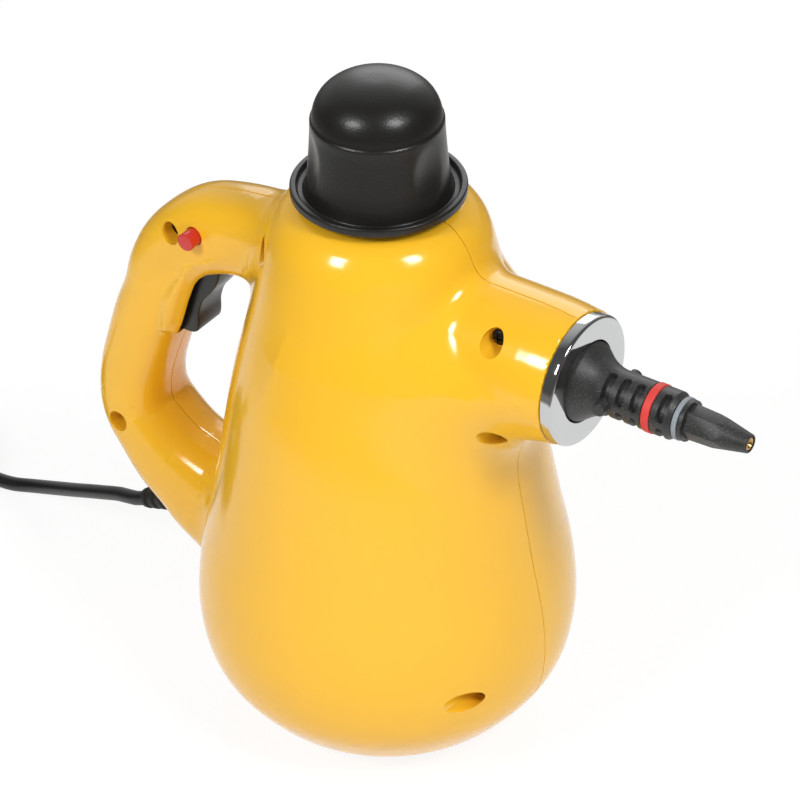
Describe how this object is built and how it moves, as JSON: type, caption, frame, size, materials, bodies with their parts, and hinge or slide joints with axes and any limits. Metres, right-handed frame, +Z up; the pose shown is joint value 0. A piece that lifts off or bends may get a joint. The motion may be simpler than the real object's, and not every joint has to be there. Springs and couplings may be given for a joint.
{
  "type": "steam window cleaner",
  "caption": "Handheld steam cleaner with a pear-shaped two-part housing, loop handle, trigger, screwed filler cap, bayonet nozzle and mains cord.",
  "frame": {"origin": "on the floor under the boiler's axis, at the centre of the base plate's lower face", "axes": "+Z up along the boiler's axis, +X towards the nozzle, the parting line of the housing lies on Y = 0"},
  "size_m": [0.5327, 0.1824, 0.2766],
  "materials": {
    "yellow_housing": "glossy injection-moulded plastic, warm yellow",
    "black_plastic": "satin black moulded plastic",
    "nozzle_plastic": "grainy matt black glass-filled plastic",
    "red_button": "glossy red plastic",
    "red_seal": "soft red silicone",
    "grey_seal": "soft blue-grey silicone",
    "chrome_trim": "polished chrome plating",
    "brass_fittings": "turned brass",
    "steel_hardware": "zinc-plated steel",
    "cast_boiler": "cast aluminium",
    "black_rubber": "soft black rubber",
    "cord_sheath": "smooth black cable sheath",
    "white_insulation": "white heat-proof insulation"
  },
  "bodies": {
    "housing": {"housing_left": "yellow_housing", "housing_right": "yellow_housing", "housing_screw_1": "steel_hardware", "housing_screw_2": "steel_hardware", "housing_screw_3": "steel_hardware", "housing_screw_4": "steel_hardware", "housing_screw_5": "steel_hardware", "housing_screw_6": "steel_hardware", "base_plate": "black_plastic", "boiler_stand": "steel_hardware", "boiler_lower": "cast_boiler", "boiler_upper": "cast_boiler", "boiler_gasket": "black_rubber", "boiler_bolt_1": "steel_hardware", "boiler_bolt_2": "steel_hardware", "boiler_bolt_3": "steel_hardware", "boiler_bolt_4": "steel_hardware", "heating_element": "steel_hardware", "thermostat": "steel_hardware", "thermal_fuse": "white_insulation", "filler_neck": "brass_fittings", "snout_ring": "chrome_trim", "nozzle_body": "nozzle_plastic", "red_seal_ring": "red_seal", "grey_seal_ring": "grey_seal", "nozzle_insert": "brass_fittings", "trigger_pin": "steel_hardware", "steam_valve_body": "brass_fittings", "steam_pipe": "brass_fittings", "steam_hose": "black_rubber", "strain_relief": "black_rubber", "cord_inner_end": "cord_sheath", "terminal_block": "white_insulation", "live_wire": "white_insulation", "neutral_wire": "white_insulation", "power_cord": "cord_sheath", "cord_coil": "cord_sheath", "cord_tail": "cord_sheath", "mains_plug": "black_rubber"},
    "trigger": {"trigger": "black_plastic", "trigger_spring": "steel_hardware"},
    "valve_stem": {"valve_stem": "steel_hardware"},
    "lock_button": {"lock_button": "red_button"},
    "cap_seal": {"cap_gasket": "black_rubber"},
    "cap_core": {"cap_core": "black_plastic", "cap_spring": "steel_hardware"},
    "cap_outer": {"cap_outer": "black_plastic", "cap_retainer": "black_plastic"}
  },
  "joints": [
    {"name": "trigger_pull", "type": "hinge", "parent": "housing", "child": "trigger", "pos_m": [-0.072, 0, 0.18001], "axis": [0, 1, 0], "range_deg": [0, 12], "stiffness_Nm_per_rad": 0.25, "springref_deg": -11.46},
    {"name": "valve_push", "type": "slide", "parent": "housing", "child": "valve_stem", "axis": [1, 0, 0], "range_m": [0, 0.00126]},
    {"name": "lock_slide", "type": "slide", "parent": "housing", "child": "lock_button", "axis": [0, 1, 0], "range_m": [0, 0.005]},
    {"name": "cap_lift", "type": "slide", "parent": "housing", "child": "cap_seal", "axis": [0, 0, 1], "range_m": [0, 0.006]},
    {"name": "cap_turn", "type": "hinge", "parent": "cap_seal", "child": "cap_core", "pos_m": [0, 0, 0.236], "axis": [0, 0, 1], "range_deg": [0, 720]},
    {"name": "cap_press", "type": "slide", "parent": "cap_core", "child": "cap_outer", "axis": [0, 0, -1], "range_m": [0, 0.002], "stiffness_N_per_m": 2000, "springref_m": -0.001, "deforming": ["cap_spring"]}
  ],
  "couplings": [
    {"joint": "valve_push", "follows": "trigger_pull", "m_per_rad": 0.006},
    {"joint": "cap_lift", "follows": "cap_turn", "m_per_rad": 0.00047746}
  ]
}
